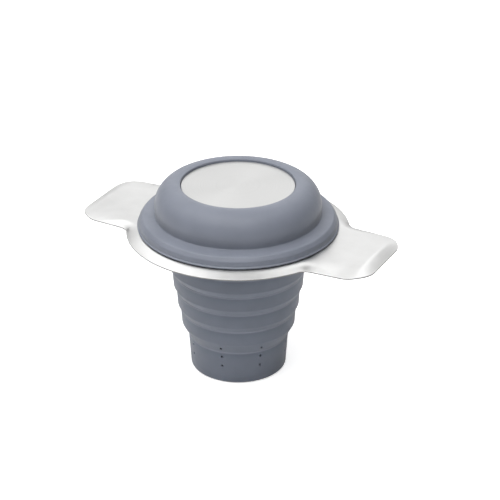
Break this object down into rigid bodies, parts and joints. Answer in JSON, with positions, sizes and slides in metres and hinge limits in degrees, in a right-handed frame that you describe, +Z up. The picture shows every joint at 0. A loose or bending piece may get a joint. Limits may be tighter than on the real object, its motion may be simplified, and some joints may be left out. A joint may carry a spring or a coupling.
{
  "type": "collapsible tea infuser",
  "caption": "Collapsible silicone tea infuser: a pin-holed basket that folds up under a steel rim plate with two wing handles, closed by a domed lid.",
  "frame": {"origin": "middle of the strainer cup's flat underside, which is the bottom centre of the object's box", "axes": "+Z up along the basket's axis, +X along the two wing handles, so the object is longest along X"},
  "size_m": [0.139, 0.097, 0.0872],
  "materials": {
    "silicone": "matt moulded, blue grey",
    "steel": "finely brushed"
  },
  "bodies": {
    "rim": {"rim_plate": "steel", "basket_collar": "silicone", "fold_web_1": "silicone"},
    "band_1": {"basket_band_1": "silicone", "fold_web_2": "silicone"},
    "band_2": {"basket_band_2": "silicone", "fold_web_3": "silicone"},
    "band_3": {"basket_band_3": "silicone", "fold_web_4": "silicone"},
    "band_4": {"basket_band_4": "silicone", "fold_web_5": "silicone"},
    "cup": {"strainer_cup": "silicone"},
    "lid": {"lid_shell": "silicone", "lid_disc": "steel"}
  },
  "joints": [
    {"name": "lid_lift", "type": "slide", "parent": "rim", "child": "lid", "axis": [0, 0, 1], "range_m": [0, 0.04]},
    {"name": "fold_1", "type": "slide", "parent": "rim", "child": "band_1", "axis": [0, 0, 1], "range_m": [0, 0.00556], "deforming": ["fold_web_1"]},
    {"name": "fold_2", "type": "slide", "parent": "band_1", "child": "band_2", "axis": [0, 0, 1], "range_m": [0, 0.00556], "deforming": ["fold_web_2"]},
    {"name": "fold_3", "type": "slide", "parent": "band_2", "child": "band_3", "axis": [0, 0, 1], "range_m": [0, 0.00556], "deforming": ["fold_web_3"]},
    {"name": "fold_4", "type": "slide", "parent": "band_3", "child": "band_4", "axis": [0, 0, 1], "range_m": [0, 0.00556], "deforming": ["fold_web_4"]},
    {"name": "fold_5", "type": "slide", "parent": "band_4", "child": "cup", "axis": [0, 0, 1], "range_m": [0, 0.01112], "deforming": ["fold_web_5"]}
  ],
  "couplings": [
    {"joint": "fold_1", "follows": "fold_5", "ratio": 0.5},
    {"joint": "fold_2", "follows": "fold_5", "ratio": 0.5},
    {"joint": "fold_3", "follows": "fold_5", "ratio": 0.5},
    {"joint": "fold_4", "follows": "fold_5", "ratio": 0.5}
  ]
}
